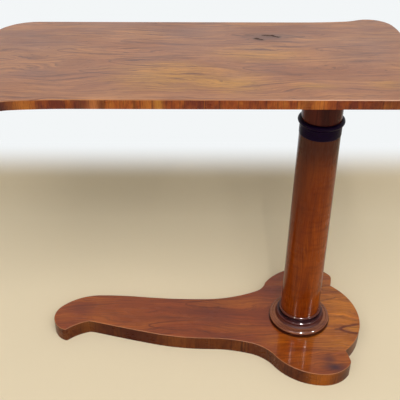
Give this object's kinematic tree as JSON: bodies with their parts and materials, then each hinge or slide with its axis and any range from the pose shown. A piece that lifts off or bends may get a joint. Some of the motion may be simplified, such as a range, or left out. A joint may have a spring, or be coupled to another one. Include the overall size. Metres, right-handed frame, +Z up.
{
  "type": "adjustable over-bed table",
  "caption": "Height-adjustable over-bed table: a veneered top carried near one end on a post that slides in a turned column, held by a screw clamp, over a scroll-ended floor frame.",
  "frame": {"origin": "on the floor, at the foot of the column's axis", "axes": "+X towards the short end of the top, +Y towards the table's back, +Z up"},
  "size_m": [0.9, 0.4464, 0.77],
  "materials": {
    "top_veneer": "French-polished rosewood veneer, grain along X",
    "top_edge_banding": "polished crossbanding, grain upright",
    "base_veneer": "French-polished rosewood veneer, grain along X",
    "base_edge_banding": "polished crossbanding, grain upright",
    "column_veneer": "French-polished rosewood veneer, grain upright",
    "neck_wood": "turned and polished rosewood",
    "dark_turned_wood": "turned, stained dark and polished to a high gloss",
    "ebonised_wood": "ebonised and polished",
    "carcase_wood": "plain sawn mahogany, unpolished",
    "bearer_wood": "planed and stained",
    "post_wood": "planed hardwood, waxed",
    "brass": "lacquered brass",
    "steel_screws": "darkened steel"
  },
  "bodies": {
    "stand": {"base_core": "carcase_wood", "base_face_veneer": "base_veneer", "base_edge_veneer": "base_edge_banding", "foot_ring": "dark_turned_wood", "column_half_front": "carcase_wood", "column_half_back": "carcase_wood", "column_veneer": "column_veneer", "column_plug": "carcase_wood", "column_screws": "steel_screws", "collar": "ebonised_wood", "throat_plate": "brass", "throat_screws": "brass", "clamp_bush": "brass", "clamp_escutcheon": "brass"},
    "rising_top": {"inner_post": "post_wood", "wear_strip": "brass", "wear_strip_screws": "brass", "stop_peg": "brass", "neck_drum": "neck_wood", "long_bearer": "bearer_wood", "cross_bearer": "bearer_wood", "tenon_wedges": "post_wood", "bearer_screws": "steel_screws", "top_core": "carcase_wood", "top_face_veneer": "top_veneer", "top_edge_veneer": "top_edge_banding"},
    "shoe": {"clamp_shoe": "brass"},
    "screw": {"thumbscrew": "brass"}
  },
  "joints": [
    {"name": "height_slide", "type": "slide", "parent": "stand", "child": "rising_top", "axis": [0, 0, 1], "range_m": [0, 0.28]},
    {"name": "shoe_advance", "type": "slide", "parent": "stand", "child": "shoe", "axis": [0, -1, 0], "range_m": [0, 0.00119]},
    {"name": "thumbscrew_turn", "type": "hinge", "parent": "shoe", "child": "screw", "pos_m": [0, 0.05, 0.57], "axis": [0, -1, 0], "range_deg": [0, 272]}
  ],
  "couplings": [
    {"joint": "thumbscrew_turn", "follows": "shoe_advance", "rad_per_m": 3957.9}
  ]
}
